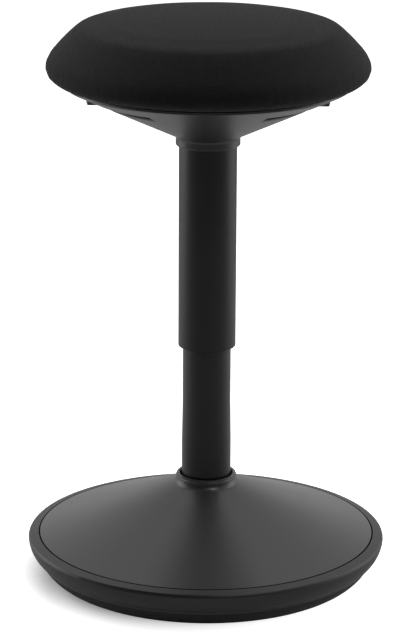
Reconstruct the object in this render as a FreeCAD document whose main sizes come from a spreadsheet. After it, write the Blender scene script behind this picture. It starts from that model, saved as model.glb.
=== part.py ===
import FreeCAD, Part
import math
import os
import re
import Sketcher

# Wobble stool, in millimetres, Z up, standing on the floor at Z = 0 with its axis on Z.
# It is drawn at its lowest height, with the seat turned so that the paddles lie along X.

doc = FreeCAD.newDocument("wobble_stool")
sheet = doc.addObject("Spreadsheet::Sheet", "Sizes")

sizes = {
    # fits
    "lay_gap": 0.2,
    "turn_gap": 0.3,
    "running_fit": 0.1,
    "pin_fit": 0.05,
    # rocking sole
    "foot_radius": 40.0,
    "rock_radius": 800.0,
    "rock_edge": 148.0,
    "sole_radius": 170.4,
    "sole_turn": 34.0,
    "sole_wall": 5.5,
    "sole_step": 31.0,
    "sole_step_radius": 157.0,
    "sole_slope_run": 7.0,
    # base pan
    "pan_wall": 3.0,
    "pan_radius": 170.8,
    "pan_side": 5.5,
    "pan_shoulder": 50.5,
    "pan_lip_side": 2.5,
    # bumper ring
    "ring_radius": 182.0,
    "ring_bore_gap": 0.4,
    "ring_foot_height": 32.5,
    "ring_belly_height": 52.0,
    "ring_side_arc": 26.0,
    "ring_bevel_radius": 180.4,
    "ring_bevel_height": 55.0,
    "ring_bevel_arc": 4.0,
    "ring_top": 57.0,
    "tongue_low": 40.0,
    "tongue_high": 44.0,
    "tongue_depth": 2.4,
    # base weight
    "weight_wall": 8.0,
    "weight_radius": 146.0,
    "hub_radius": 39.0,
    "hub_top": 75.0,
    "hub_fillet": 12.0,
    # base cover
    "cover_radius": 170.6,
    "cover_wall": 2.5,
    "cover_rise": 54.4,
    "cover_bow": 2600.0,
    "neck_radius": 31.0,
    "neck_fillet": 8.0,
    "lip_radius": 30.2,
    "lip_bore": 26.95,
    "lip_top": 119.5,
    "lip_height": 2.6,
    "lip_round": 0.8,
    # base screws
    "base_screw_circle": 120.0,
    "base_screw_shank": 3.0,
    "base_screw_head": 6.0,
    "base_screw_head_height": 3.5,
    "base_screw_length": 14.0,
    # column tube
    "column_radius": 25.0,
    "column_top_radius": 24.3,
    "column_foot_radius": 24.0,
    "column_wall": 1.6,
    "column_foot": 30.0,
    "column_taper_top": 80.0,
    "swell_low": 155.0,
    "swell_high": 196.0,
    "column_top": 456.0,
    "bottom_plate": 34.0,
    "bottom_plate_wall": 3.0,
    "bottom_plate_bore": 5.5,
    # guide bush
    "bush_length": 60.0,
    "bush_flange": 2.0,
    # thrust bearing
    "bearing_radius": 16.0,
    "washer_wall": 2.5,
    "ball_radius": 2.45,
    "ball_circle": 11.5,
    "ball_gap": 0.05,
    "cage_height": 2.0,
    "cage_ball_fit": 0.15,
    "cage_bore": 6.5,
    "cage_radius": 15.5,
    # piston rod
    "rod_radius": 5.0,
    "rod_foot_radius": 4.0,
    "rod_foot": 26.0,
    "rod_washer_radius": 11.0,
    "rod_washer_wall": 2.0,
    "clip_radius": 7.0,
    "clip_wall": 1.5,
    "clip_groove": 0.8,
    "buffer_height": 13.0,
    "buffer_waist": 1.5,
    "piston_length": 14.0,
    # gas lift
    "lift_radius": 14.0,
    "lift_wall": 2.0,
    "lift_length": 439.2,
    "lift_crown": 14.5,
    "taper_length": 60.0,
    "taper_drop": 0.8,
    "guide_length": 15.0,
    "guide_seat": 2.0,
    "stroke": 190.0,
    # taper socket and lever bracket
    "socket_radius": 18.0,
    "socket_length": 35.0,
    "bracket_length": 110.0,
    "bracket_inner": 19.0,
    "bracket_wall": 2.5,
    "bracket_height": 28.5,
    # seat plates and pan
    "plate_side": 140.0,
    "plate_corner": 12.0,
    "plate_wall": 3.0,
    "plate_top": 527.5,
    "bolt_circle": 76.4,
    "bolt_shank": 3.0,
    "bolt_head": 5.5,
    "bolt_head_height": 3.6,
    "bolt_length": 14.0,
    "nut_radius": 4.2,
    "nut_flange": 9.5,
    "nut_flange_wall": 1.5,
    "pan_disc_radius": 140.0,
    "pan_disc_wall": 12.0,
    # cushion
    "seat_radius": 161.7,
    "seat_wide_height": 540.3,
    "seat_top": 591.2,
    "skin": 1.2,
    "under_arc": 24.5,
    "under_side_arc": 10.6,
    "under_turn": 50.0,
    "side_arc": 22.3,
    "side_turn": 39.4,
    "flank_arc": 236.0,
    "flank_turn": 8.0,
    "shoulder_arc": 18.8,
    "crown_turn": 7.0,
    "hem_radius": 128.0,
    # seat shell
    "collar_radius": 32.2,
    "collar_foot": 462.4,
    "collar_bore": 29.25,
    "collar_round": 1.6,
    "shell_slope": 0.4742,
    "shell_mark_radius": 118.0,
    "shell_mark_height": 512.4,
    "shell_wall": 3.3,
    "shell_radius": 142.0,
    "shell_rim": 526.0,
    "shell_fillet": 4.0,
    "ledge_height": 475.0,
    "ledge_radius": 31.8,
    # finger recesses
    "recess_inner": 103.0,
    "recess_back": 107.9,
    "recess_outer": 121.0,
    "recess_roof": 512.7,
    "recess_back_arc": 8.5,
    "recess_back_height": 511.6,
    "recess_span": 123.0,
    "liner_wall": 2.5,
    "liner_span": 126.0,
    "window_half": 24.5,
    "window_inner": 96.0,
    "window_outer": 130.0,
    "window_top": 519.0,
    "boss_circle": 113.0,
    "boss_angle": 40.0,
    "boss_radius": 6.5,
    "shell_screw_head": 4.3,
    "shell_screw_head_height": 2.2,
    "shell_screw_shank": 2.0,
    "shell_screw_length": 20.0,
    "shell_screw_hole_fit": 0.3,
    "counterbore": 2.4,
    # cover sleeve
    "sleeve_radius": 29.0,
    "sleeve_wall": 2.0,
    "sleeve_foot": 255.0,
    "sleeve_flange_radius": 31.4,
    "sleeve_flange": 2.0,
    "sleeve_round": 0.9,
    # release levers
    "lever_wall": 3.0,
    "lever_low": 507.5,
    "lever_half": 8.0,
    "lever_reach": 108.0,
    "fork_inner": 1.0,
    "fork_outer": 9.0,
    "fork_half": 4.3,
    "ear_outer": 8.0,
    "ear_inner": 5.0,
    "ear_half_length": 7.0,
    "ear_top": 519.0,
    "pivot_offset": 40.0,
    "pivot_height": 514.0,
    "pivot_radius": 3.0,
    "pivot_head": 4.5,
    "pivot_head_wall": 1.5,
    "paddle_low": 506.5,
    "paddle_wall": 5.0,
    "paddle_half": 23.0,
    "paddle_inner": 92.0,
    "paddle_outer": 120.5,
    "paddle_round": 1.4,
    "paddle_slot_gap": 0.1,
    # release valve
    "valve_radius": 3.0,
    "cap_radius": 9.0,
    "cap_neck": 4.0,
    "cap_flange": 2.0,
    "cap_gap": 0.5,
}

for row, (alias, size) in enumerate(sizes.items(), 1):
    sheet.set("A%d" % row, alias)
    sheet.set("B%d" % row, str(size))
    sheet.setAlias("B%d" % row, alias)
doc.recompute()


def bound(text):
    """The expression with each size's name written out as its cell."""
    names = re.compile(r"\b(" + "|".join(sizes) + r")\b")
    return names.sub(r"Sizes.\1", str(text))


def value(text):
    return float(sheet.evalExpression(bound(text)))


def plane(body, role):
    return [feature for feature in body.Origin.OriginFeatures if feature.Role == role][0]


def outline(body, name, role, corners, offset=("0", "0", "0")):
    """A closed sketch. A corner is (x, y), or (x, y, radius) where an arc leads on from it,
    with a radius above zero for an arc that turns left."""
    sketch = body.newObject("Sketcher::SketchObject", name)
    sketch.AttachmentSupport = [(plane(body, role), "")]
    sketch.MapMode = "FlatFace"
    for axis, shift in zip("xyz", offset):
        if shift != "0":
            sketch.setExpression("AttachmentOffset.Base." + axis, bound(shift))
    spots = [FreeCAD.Vector(value(corner[0]), value(corner[1]), 0) for corner in corners]
    count = len(corners)
    first = []
    for i, corner in enumerate(corners):
        start, end = spots[i], spots[(i + 1) % count]
        if len(corner) == 2:
            sketch.addGeometry(Part.LineSegment(start, end), False)
            first.append(1)
            continue
        left = value(corner[2]) > 0
        radius = abs(value(corner[2]))
        if not left:
            start, end = end, start
        chord = end - start
        side = FreeCAD.Vector(-chord.y, chord.x, 0).normalize()
        centre = (start + end) * 0.5 + side * math.sqrt(radius ** 2 - (chord.Length / 2) ** 2)
        angles = [math.atan2(spot.y - centre.y, spot.x - centre.x) for spot in (start, end)]
        circle = Part.Circle(centre, FreeCAD.Vector(0, 0, 1), radius)
        sketch.addGeometry(Part.ArcOfCircle(circle, angles[0], angles[1]), False)
        first.append(1 if left else 2)
    for i, corner in enumerate(corners):
        after = (i + 1) % count
        sketch.addConstraint(Sketcher.Constraint("Coincident", i, 3 - first[i], after, first[after]))
    for i, corner in enumerate(corners):
        for kind, text in (("DistanceX", corner[0]), ("DistanceY", corner[1])):
            index = sketch.addConstraint(Sketcher.Constraint(kind, -1, 1, i, first[i], value(text)))
            sketch.setExpression("Constraints[%d]" % index, bound(text))
        if len(corner) == 3:
            index = sketch.addConstraint(Sketcher.Constraint("Radius", i, abs(value(corner[2]))))
            sketch.setExpression("Constraints[%d]" % index, bound("abs(%s)" % corner[2]))
    return sketch


def disc(body, name, radius, height="0", places=(("0", "0"),), role="XY_Plane"):
    """Round outlines on the plane, raised to the height."""
    sketch = body.newObject("Sketcher::SketchObject", name)
    sketch.AttachmentSupport = [(plane(body, role), "")]
    sketch.MapMode = "FlatFace"
    if height != "0":
        sketch.setExpression("AttachmentOffset.Base.z", bound(height))
    for number, place in enumerate(places):
        centre = FreeCAD.Vector(value(place[0]), value(place[1]), 0)
        sketch.addGeometry(Part.Circle(centre, FreeCAD.Vector(0, 0, 1), value(radius)), False)
        for kind, text in (("DistanceX", place[0]), ("DistanceY", place[1])):
            index = sketch.addConstraint(Sketcher.Constraint(kind, -1, 1, number, 3, value(text)))
            sketch.setExpression("Constraints[%d]" % index, bound(text))
        index = sketch.addConstraint(Sketcher.Constraint("Radius", number, value(radius)))
        sketch.setExpression("Constraints[%d]" % index, bound(radius))
    return sketch


def new_body(label):
    return doc.addObject("PartDesign::Body", label)


def turn(body, sketch, kind="Revolution", angle="360"):
    """A solid or a cut turned about the sketch's upright axis, evenly to both sides."""
    feature = body.newObject("PartDesign::" + kind, sketch.Name + "_turn")
    feature.Profile = sketch
    feature.ReferenceAxis = (sketch, ["V_Axis"])
    feature.Midplane = True
    feature.setExpression("Angle", bound(angle))
    doc.recompute()
    return feature


def pad(body, sketch, length, kind="Pad", reverse=False, middle=False):
    feature = body.newObject("PartDesign::" + kind, sketch.Name + "_run")
    feature.Profile = sketch
    feature.Midplane = middle
    feature.Reversed = reverse
    feature.setExpression("Length", bound(length))
    doc.recompute()
    return feature


def repeat(body, features, count, angle="360"):
    pattern = body.newObject("PartDesign::PolarPattern", features[0].Name + "_repeat")
    pattern.Originals = features
    pattern.Axis = (plane(body, "Z_Axis"), [""])
    pattern.Angle = value(angle)
    pattern.setExpression("Occurrences", bound(count))
    body.Tip = pattern
    doc.recompute()
    return pattern


def reflect(body, features, role):
    mirror = body.newObject("PartDesign::Mirrored", features[0].Name + "_mirror")
    mirror.Originals = features
    mirror.MirrorPlane = (plane(body, role), [""])
    body.Tip = mirror
    doc.recompute()
    return mirror


def turned(label, corners):
    body = new_body(label)
    turn(body, outline(body, label + "_outline", "XZ_Plane", corners))
    return body


def standing(label, corners, circle, count, starts=("0",)):
    """Identical turned pieces that stand in a circle."""
    body = new_body(label)
    features = []
    for start in starts:
        place = ("%s * cos(%s)" % (circle, start), "0", "-%s * sin(%s)" % (circle, start))
        features.append(turn(body, outline(body, label + "_outline", "XZ_Plane", corners, place)))
    repeat(body, features, count)
    return body


def round_off(body, radius, circles):
    """A fillet on the circular edges given as (radius, height)."""
    shape = body.Tip.Shape
    names = []
    for ring, height in circles:
        for number, edge in enumerate(shape.Edges, 1):
            curve = edge.Curve
            if not isinstance(curve, Part.Circle):
                continue
            same_ring = abs(curve.Radius - value(ring)) < 0.01
            if same_ring and abs(curve.Center.z - value(height)) < 0.01:
                names.append("Edge%d" % number)
    base = body.Tip
    feature = body.newObject("PartDesign::Fillet", "%s_round_%s" % (body.Name, names[0]))
    feature.Base = (base, names)
    feature.setExpression("Radius", bound(radius))
    doc.recompute()
    return feature


# Heights of the nested shells of the base, which follow the rocking sphere

cover_slope = "(cover_rise / (cover_radius - neck_radius))"


def cover_under(radius):
    """Underside of the trumpet cover at a radius."""
    drop = "cover_wall * sqrt(1 + %s ^ 2)" % cover_slope
    return "(ring_top + %s * (cover_radius - (%s)) - %s)" % (cover_slope, radius, drop)


def bowl(radius, depth="0"):
    start = "sqrt(rock_radius ^ 2 - foot_radius ^ 2)"
    return "(%s - sqrt((rock_radius - (%s)) ^ 2 - (%s) ^ 2))" % (start, depth, radius)


pan_depth = "(sole_wall + lay_gap)"
floor_depth = "(sole_wall + lay_gap + pan_wall)"
weight_depth = "(sole_wall + lay_gap * 2 + pan_wall)"
weight_top_depth = "(sole_wall + lay_gap * 2 + pan_wall + weight_wall)"
slope_foot = "(sole_step_radius - sole_slope_run)"


def base_screw_holes(body, radius, low, high):
    sketch = disc(body, body.Name + "_hole", radius, low, (("base_screw_circle", "0"),))
    cut = pad(body, sketch, "%s - (%s)" % (high, low), "Pocket", reverse=True)
    repeat(body, [cut], "6")
    return cut


def rocker_sole():
    body = turned("rocker_sole", [
        ("0", "0"),
        ("foot_radius", "0", "rock_radius"),
        ("rock_edge", bowl("rock_edge"), "sole_turn"),
        ("sole_radius", "sole_step"),
        ("sole_step_radius", "sole_step"),
        (slope_foot, bowl(slope_foot, "sole_wall"), "sole_wall - rock_radius"),
        ("0", bowl("0", "sole_wall")),
    ])
    base_screw_holes(body, "base_screw_head + turn_gap", "0", "sole_step")
    return body


def base_pan():
    side = "(pan_radius - pan_side)"
    groove = "(pan_radius - tongue_depth - lay_gap)"
    lip_top = cover_under("cover_radius - pan_lip_side") + " - lay_gap"
    body = turned("base_pan", [
        ("0", bowl("0", pan_depth), "rock_radius - sole_wall - lay_gap"),
        (slope_foot, bowl(slope_foot, pan_depth)),
        ("sole_step_radius", "sole_step + lay_gap"),
        ("pan_radius", "sole_step + lay_gap"),
        ("pan_radius", "tongue_low"),
        (groove, "tongue_low"),
        (groove, "tongue_high + lay_gap"),
        ("pan_radius", "tongue_high + lay_gap"),
        ("pan_radius", "pan_shoulder"),
        ("pan_radius - pan_side + pan_lip_side", "pan_shoulder"),
        ("pan_radius - pan_side + pan_lip_side", lip_top),
        (side, lip_top),
        (side, "sole_step + lay_gap + pan_wall * 2"),
        ("sole_step_radius - pan_wall", "sole_step + lay_gap + pan_wall"),
        (slope_foot, bowl(slope_foot, floor_depth), "sole_wall + lay_gap + pan_wall - rock_radius"),
        ("0", bowl("0", floor_depth)),
    ])
    base_screw_holes(body, "base_screw_shank + turn_gap", "0", "sole_step")
    return body


def rim_bumper():
    bore = "(pan_radius + ring_bore_gap)"
    tongue = "(pan_radius - tongue_depth)"
    return turned("rim_bumper", [
        (bore, "ring_foot_height", "ring_side_arc"),
        ("ring_radius", "ring_belly_height", "ring_bevel_arc"),
        ("ring_bevel_radius", "ring_bevel_height"),
        (bore, "ring_top"),
        (bore, "tongue_high"),
        (tongue, "tongue_high"),
        (tongue, "tongue_low"),
        (bore, "tongue_low"),
    ])


def column_at(height):
    """Radius of the column's tapered foot at a height."""
    slope = "(column_radius - column_foot_radius) / (column_taper_top - column_foot)"
    return "(column_foot_radius + (%s - column_foot) * %s)" % (height, slope)


def base_weight():
    body = turned("base_weight", [
        ("rod_washer_radius + 2", bowl("rod_washer_radius + 2", weight_depth),
         "rock_radius - sole_wall - lay_gap * 2 - pan_wall"),
        ("weight_radius", bowl("weight_radius", weight_depth)),
        ("weight_radius", bowl("weight_radius", weight_top_depth),
         "-(rock_radius - sole_wall - lay_gap * 2 - pan_wall - weight_wall)"),
        ("hub_radius", bowl("hub_radius", weight_top_depth)),
        ("hub_radius", "hub_top"),
        (column_at("hub_top") + " + lay_gap / 2", "hub_top"),
        (column_at("column_foot") + " + lay_gap / 2", "column_foot - lay_gap"),
        ("rod_washer_radius + 2", "column_foot - lay_gap"),
    ])
    round_off(body, "hub_fillet", [("hub_radius", bowl("hub_radius", weight_top_depth))])
    base_screw_holes(body, "base_screw_shank + pin_fit", "0", "sole_step")
    return body


def base_cover():
    corner = "(ring_top + cover_rise)"
    lip_in = "(cover_radius - pan_lip_side)"
    body = turned("base_cover", [
        (lip_in, "pan_shoulder"),
        ("cover_radius", "pan_shoulder"),
        ("cover_radius", "ring_top", "-cover_bow"),
        ("neck_radius", corner),
        ("neck_radius", "lip_top - lip_height"),
        ("lip_radius", "lip_top - lip_height + lip_round"),
        ("lip_radius", "lip_top - lip_round", "lip_round"),
        ("lip_radius - lip_round", "lip_top"),
        ("lip_bore + lip_round", "lip_top", "lip_round"),
        ("lip_bore", "lip_top - lip_round"),
        ("lip_bore", cover_under("lip_bore"), "cover_bow"),
        (lip_in, cover_under(lip_in)),
    ])
    round_off(body, "neck_fillet", [("neck_radius", corner)])
    return body


def base_screws():
    seat = bowl("base_screw_circle - base_screw_head", pan_depth)
    head = "(%s - base_screw_head_height)" % seat
    tip = "(%s + base_screw_length)" % seat
    return standing("base_screws", [
        ("0", head + " + base_screw_head_height / 2"),
        ("base_screw_shank * 0.6", head + " + base_screw_head_height / 2"),
        ("base_screw_shank * 0.6", head),
        ("base_screw_head", head),
        ("base_screw_head", seat),
        ("base_screw_shank", seat),
        ("base_screw_shank", tip + " - base_screw_shank / 2"),
        ("base_screw_shank / 2", tip),
        ("0", tip),
    ], "base_screw_circle", "6")


def column_tube():
    plate_top = "(bottom_plate + bottom_plate_wall)"
    return turned("column_tube", [
        ("column_foot_radius", "column_foot"),
        ("column_radius", "column_taper_top"),
        ("column_radius", "swell_low"),
        ("column_top_radius", "swell_high"),
        ("column_top_radius", "column_top"),
        ("column_top_radius - column_wall", "column_top"),
        ("column_top_radius - column_wall", "swell_high"),
        ("column_radius - column_wall", "swell_low"),
        ("column_radius - column_wall", "column_taper_top"),
        (column_at(plate_top) + " - column_wall", plate_top),
        ("bottom_plate_bore", plate_top),
        ("bottom_plate_bore", "bottom_plate"),
        (column_at("bottom_plate") + " - column_wall", "bottom_plate"),
        ("column_foot_radius - column_wall", "column_foot"),
    ])


def guide_bush():
    bore = "(lift_radius + running_fit)"
    outer = "(column_top_radius - column_wall)"
    return turned("guide_bush", [
        (bore, "column_top - bush_length"),
        (outer, "column_top - bush_length"),
        (outer, "column_top"),
        ("column_top_radius", "column_top"),
        ("column_top_radius", "column_top + bush_flange"),
        (bore, "column_top + bush_flange"),
    ])


# Thrust bearing at the foot of the spindle

washer_low = "(bottom_plate + bottom_plate_wall)"
race_low = "(bottom_plate + bottom_plate_wall + washer_wall)"
ball_height = "(bottom_plate + bottom_plate_wall + washer_wall + ball_gap + ball_radius)"
race_high = "(bottom_plate + bottom_plate_wall + washer_wall + ball_gap * 2 + ball_radius * 2)"
shoulder = "(bottom_plate + bottom_plate_wall + washer_wall * 2 + ball_gap * 2 + ball_radius * 2)"
buffer_top = "(%s + buffer_height)" % shoulder
lift_foot = "(%s + turn_gap)" % buffer_top


def washer(label, bore, outer, low, wall):
    return turned(label, [
        (bore, low),
        (outer, low),
        (outer, low + " + " + wall),
        (bore, low + " + " + wall),
    ])


def bearing_lower_washer():
    return washer("bearing_lower_washer", "rod_foot_radius + turn_gap * 3", "bearing_radius",
                  washer_low, "washer_wall")


def bearing_upper_washer():
    return washer("bearing_upper_washer", "rod_foot_radius + pin_fit", "bearing_radius",
                  race_high, "washer_wall")


def bearing_cage():
    body = washer("bearing_cage", "cage_bore", "cage_radius",
                  ball_height + " - cage_height / 2", "cage_height")
    sketch = disc(body, "cage_pocket", "ball_radius + cage_ball_fit", race_low, (("ball_circle", "0"),))
    cut = pad(body, sketch, "ball_radius * 2", "Pocket", reverse=True)
    repeat(body, [cut], "10")
    return body


def bearing_balls():
    return standing("bearing_balls", [
        ("0", ball_height + " - ball_radius", "ball_radius"),
        ("ball_radius", ball_height, "ball_radius"),
        ("0", ball_height + " + ball_radius"),
    ], "ball_circle", "10")


# Piston rod with its piston, which stays in the column while the lift rises

guide_low = "(%s + guide_seat)" % lift_foot
guide_high = "(%s + guide_length)" % guide_low
piston_low = "(%s + stroke + turn_gap)" % guide_high
piston_high = "(%s + piston_length)" % piston_low
clip_high = "(bottom_plate - turn_gap - rod_washer_wall)"
clip_low = "(%s - clip_wall)" % clip_high


def piston_rod():
    bore = "(lift_radius - lift_wall - running_fit)"
    return turned("piston_rod", [
        ("0", "rod_foot"),
        ("rod_foot_radius - clip_groove", "rod_foot"),
        ("rod_foot_radius", "rod_foot + clip_groove"),
        ("rod_foot_radius", clip_low + " - pin_fit"),
        ("rod_foot_radius - clip_groove", clip_low + " - pin_fit"),
        ("rod_foot_radius - clip_groove", clip_high),
        ("rod_foot_radius", clip_high),
        ("rod_foot_radius", shoulder),
        ("rod_radius", shoulder),
        ("rod_radius", piston_low),
        (bore, piston_low),
        (bore, piston_high),
        ("rod_radius", piston_high),
        ("rod_radius - clip_groove", piston_high + " + clip_groove"),
        ("0", piston_high + " + clip_groove"),
    ])


def rod_washer():
    return washer("rod_washer", "rod_foot_radius + pin_fit", "rod_washer_radius",
                  clip_high, "rod_washer_wall")


def rod_clip():
    body = washer("rod_clip", "rod_foot_radius - clip_groove + pin_fit", "clip_radius",
                  clip_low, "clip_wall")
    gap = "(rod_foot_radius - clip_groove)"
    sketch = outline(body, "clip_mouth", "XY_Plane", [
        ("0", "-%s * 0.9" % gap),
        ("clip_radius * 2", "-%s * 0.9" % gap),
        ("clip_radius * 2", "%s * 0.9" % gap),
        ("0", "%s * 0.9" % gap),
    ], ("0", "0", clip_low))
    pad(body, sketch, "clip_wall", "Pocket", reverse=True)
    return body


def buffer_ring():
    bore = "(rod_radius + turn_gap)"
    return turned("buffer_ring", [
        (bore, shoulder),
        ("bearing_radius - buffer_waist", shoulder),
        ("bearing_radius", shoulder + " + buffer_waist"),
        ("bearing_radius", shoulder + " + buffer_height / 3"),
        ("bearing_radius - buffer_waist", shoulder + " + buffer_height / 2"),
        ("bearing_radius", shoulder + " + buffer_height * 2 / 3"),
        ("bearing_radius", buffer_top + " - buffer_waist"),
        ("bearing_radius - buffer_waist", buffer_top),
        (bore, buffer_top),
    ])


lift_top = "(%s + lift_length)" % lift_foot


def lift_cylinder():
    inner = "(lift_radius - lift_wall)"
    return turned("lift_cylinder", [
        ("lift_radius - guide_seat", lift_foot),
        ("lift_radius", lift_foot + " + guide_seat"),
        ("lift_radius", lift_top + " - taper_length"),
        ("lift_radius - taper_drop", lift_top),
        ("valve_radius + pin_fit", lift_top),
        ("valve_radius + pin_fit", lift_top + " - lift_crown"),
        (inner, lift_top + " - lift_crown"),
        (inner, guide_low),
        ("rod_radius + turn_gap * 3", guide_low),
        ("rod_radius + turn_gap * 3", lift_foot),
    ])


def rod_guide():
    outer = "(lift_radius - lift_wall)"
    return turned("rod_guide", [
        ("rod_radius + pin_fit", guide_low),
        (outer, guide_low),
        (outer, guide_high),
        ("rod_radius + pin_fit", guide_high),
    ])


# Everything under the seat hangs from the underside of the plywood pan

bracket_top = "(plate_top - plate_wall)"
bracket_low = "(plate_top - plate_wall - bracket_height)"
socket_top = "(plate_top - plate_wall - bracket_height + bracket_wall)"


def cylinder_at(height):
    """Radius of the lift's tapered top at a height."""
    return "(lift_radius - taper_drop * (%s - %s + taper_length) / taper_length)" % (height, lift_top)


def taper_socket():
    low = "(%s - socket_length)" % bracket_low
    return turned("taper_socket", [
        (cylinder_at(low) + " + pin_fit", low),
        ("socket_radius", low),
        ("socket_radius", bracket_low),
        (cylinder_at(bracket_low) + " + pin_fit", bracket_low),
    ])


def lever_bracket():
    body = new_body("lever_bracket")
    inner = "bracket_inner"
    outer = "(bracket_inner + bracket_wall)"
    foot = "(bracket_inner + bracket_wall * 4)"
    sketch = outline(body, "bracket_section", "YZ_Plane", [
        ("-" + outer, bracket_low),
        (outer, bracket_low),
        (outer, bracket_top + " - bracket_wall"),
        (foot, bracket_top + " - bracket_wall"),
        (foot, bracket_top),
        (inner, bracket_top),
        (inner, bracket_low + " + bracket_wall"),
        ("-" + inner, bracket_low + " + bracket_wall"),
        ("-" + inner, bracket_top),
        ("-" + foot, bracket_top),
        ("-" + foot, bracket_top + " - bracket_wall"),
        ("-" + outer, bracket_top + " - bracket_wall"),
    ])
    pad(body, sketch, "bracket_length", middle=True)
    bore = disc(body, "bracket_bore_ring", cylinder_at(bracket_low) + " + turn_gap", bracket_low)
    pad(body, bore, "bracket_wall", "Pocket", reverse=True)
    hole = disc(body, "bracket_pin_hole", "pivot_radius + pin_fit", "0",
                (("pivot_offset", "pivot_height"), ("-pivot_offset", "pivot_height")), "XZ_Plane")
    pad(body, hole, "bracket_length", "Pocket", middle=True)
    return body


def rounded_square(half, corner):
    return [
        ("-%s + %s" % (half, corner), "-" + half),
        ("%s - %s" % (half, corner), "-" + half, corner),
        (half, "-%s + %s" % (half, corner)),
        (half, "%s - %s" % (half, corner), corner),
        ("%s - %s" % (half, corner), half),
        ("-%s + %s" % (half, corner), half, corner),
        ("-" + half, "%s - %s" % (half, corner)),
        ("-" + half, "-%s + %s" % (half, corner), corner),
    ]


def bolt_holes(body, radius, low, length):
    across = "(bolt_circle * cos(45))"
    places = [(x + across, y + across) for x in ("", "-") for y in ("", "-")]
    hole = disc(body, body.Name + "_hole", radius, low, places)
    return pad(body, hole, length, "Pocket", reverse=True)


def mounting_plate():
    body = new_body("mounting_plate")
    half = "plate_side / 2"
    sketch = outline(body, "plate_outline", "XY_Plane", rounded_square(half, "plate_corner"),
                     ("0", "0", bracket_top))
    pad(body, sketch, "plate_wall")
    bolt_holes(body, "bolt_shank + turn_gap", bracket_top, "plate_wall")
    return body


def mounting_bolts():
    head = "(%s - bolt_head_height)" % bracket_top
    tip = "(%s + bolt_length)" % bracket_top
    return standing("mounting_bolts", [
        ("0", head + " + bolt_head_height / 2"),
        ("bolt_shank / 2", head + " + bolt_head_height / 2"),
        ("bolt_shank / 2", head),
        ("bolt_head", head),
        ("bolt_head", bracket_top),
        ("bolt_shank", bracket_top),
        ("bolt_shank", tip + " - bolt_shank / 3"),
        ("bolt_shank * 2 / 3", tip),
        ("0", tip),
    ], "bolt_circle", "4", ("45",))


pan_disc_top = "(plate_top + pan_disc_wall)"


def t_nuts():
    low = "(plate_top + turn_gap)"
    flange = "(%s - nut_flange_wall)" % pan_disc_top
    return standing("t_nuts", [
        ("bolt_shank + pin_fit", low),
        ("nut_radius", low),
        ("nut_radius", flange),
        ("nut_flange", flange),
        ("nut_flange", pan_disc_top),
        ("bolt_shank + pin_fit", pan_disc_top),
    ], "bolt_circle", "4", ("45",))


def pivot_pins():
    body = new_body("pivot_pins")
    end = "(bracket_inner + bracket_wall)"
    tip = "(bracket_inner + bracket_wall + pivot_head_wall)"
    sketch = outline(body, "pin_outline", "XY_Plane", [
        ("0", "-" + tip),
        ("pivot_head", "-" + tip),
        ("pivot_head", "-" + end),
        ("pivot_radius", "-" + end),
        ("pivot_radius", end),
        ("pivot_head", end),
        ("pivot_head", tip),
        ("0", tip),
    ], ("pivot_offset", "0", "pivot_height"))
    reflect(body, [turn(body, sketch)], "YZ_Plane")
    return body


def boss_places():
    """The four screws that hold the shell to the pan."""
    across = ("(boss_circle * cos(boss_angle))", "(boss_circle * sin(boss_angle))")
    return [(x + across[0], y + across[1]) for x in ("", "-") for y in ("", "-")]


def seat_pan():
    body = turned("seat_pan", [
        ("0", "plate_top"),
        ("pan_disc_radius", "plate_top"),
        ("pan_disc_radius", pan_disc_top),
        ("0", pan_disc_top),
    ])
    bolt_holes(body, "nut_radius + pin_fit", "plate_top", "pan_disc_wall")
    bolt_holes(body, "nut_flange + pin_fit", "%s - nut_flange_wall" % pan_disc_top, "nut_flange_wall")
    pilot = disc(body, "pilot", "shell_screw_shank + pin_fit", "plate_top", boss_places())
    pad(body, pilot, "recess_roof + counterbore + shell_screw_length + turn_gap - plate_top", "Pocket",
        reverse=True)
    return body


# Cushion: a run of tangent arcs from the hem under the pan, out to the widest point and
# over the shoulder to the crown. An inset moves the whole line inwards.

def step(point, size, angle):
    """The point that lies a size away in a direction, as a pair of expressions."""
    return ("(%s + %s * cos(%s))" % (point[0], size, angle), "(%s + %s * sin(%s))" % (point[1], size, angle))


def cushion_line(inset):
    side = "(side_arc - (%s))" % inset
    under_side = "(under_side_arc - (%s))" % inset
    flank = "(flank_arc - (%s))" % inset
    shoulder_size = "(shoulder_arc - (%s))" % inset
    side_centre = ("(seat_radius - side_arc)", "seat_wide_height")
    under_centre = ("(seat_radius - under_side_arc)", "seat_wide_height")
    flank_angle = "(side_turn + flank_turn)"
    flank_centre = step(side_centre, "(side_arc - flank_arc)", "side_turn")
    shoulder_centre = step(flank_centre, "(flank_arc - shoulder_arc)", flank_angle)
    crown = step(shoulder_centre, shoulder_size, "(90 - crown_turn)")
    rise = "(seat_top - (%s) - %s)" % (inset, crown[1])
    crown_arc = "((%s ^ 2 + %s ^ 2) / (2 * %s))" % (crown[0], rise, rise)
    return [
        ("(pan_disc_radius + skin)", "(plate_top - skin + (%s))" % inset, "(under_arc - (%s))" % inset),
        step(under_centre, under_side, "(-under_turn)") + (under_side,),
        ("(seat_radius - (%s))" % inset, "seat_wide_height", side),
        step(side_centre, side, "side_turn") + (flank,),
        step(flank_centre, flank, flank_angle) + (shoulder_size,),
        crown + (crown_arc,),
        ("0", "seat_top - (%s)" % inset),
    ]


def backwards(corners):
    """The same run of corners from its end to its start, with its arcs turning the other way."""
    run = [corners[-1][:2] + ("-" + corners[-2][2],)]
    for number in range(len(corners) - 2, 0, -1):
        run.append(corners[number][:2] + ("-" + corners[number - 1][2],))
    return run + [corners[0][:2]]


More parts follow.
